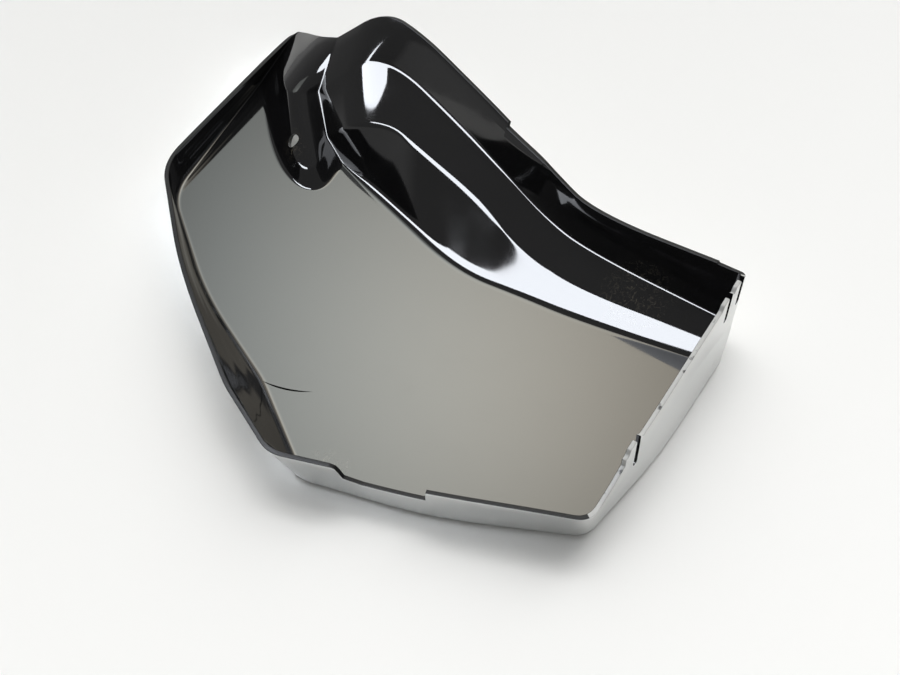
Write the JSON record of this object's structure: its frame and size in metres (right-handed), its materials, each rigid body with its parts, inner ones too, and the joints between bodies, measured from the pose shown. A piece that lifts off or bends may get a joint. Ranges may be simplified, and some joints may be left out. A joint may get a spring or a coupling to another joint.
{
  "type": "motorbike side panel",
  "caption": "Moulded black side panel for a motorbike, painted silver outside: flat main face, raised walls, tall ledged edge, screw scoop and clip slots.",
  "frame": {"origin": "under the middle of the panel's box, in the plane of its outer face", "axes": "+Z from the outer face to the open inside, +X along the lower edge towards the slotted wall"},
  "size_m": [0.3334, 0.3252, 0.074],
  "materials": {
    "moulded_black_plastic": "injection moulded gloss black inside and on the rim, silver paint sprayed on the outer side, scuffed edges at the clip slots"
  },
  "bodies": {
    "root": {"side_panel": "moulded_black_plastic"}
  },
  "joints": []
}
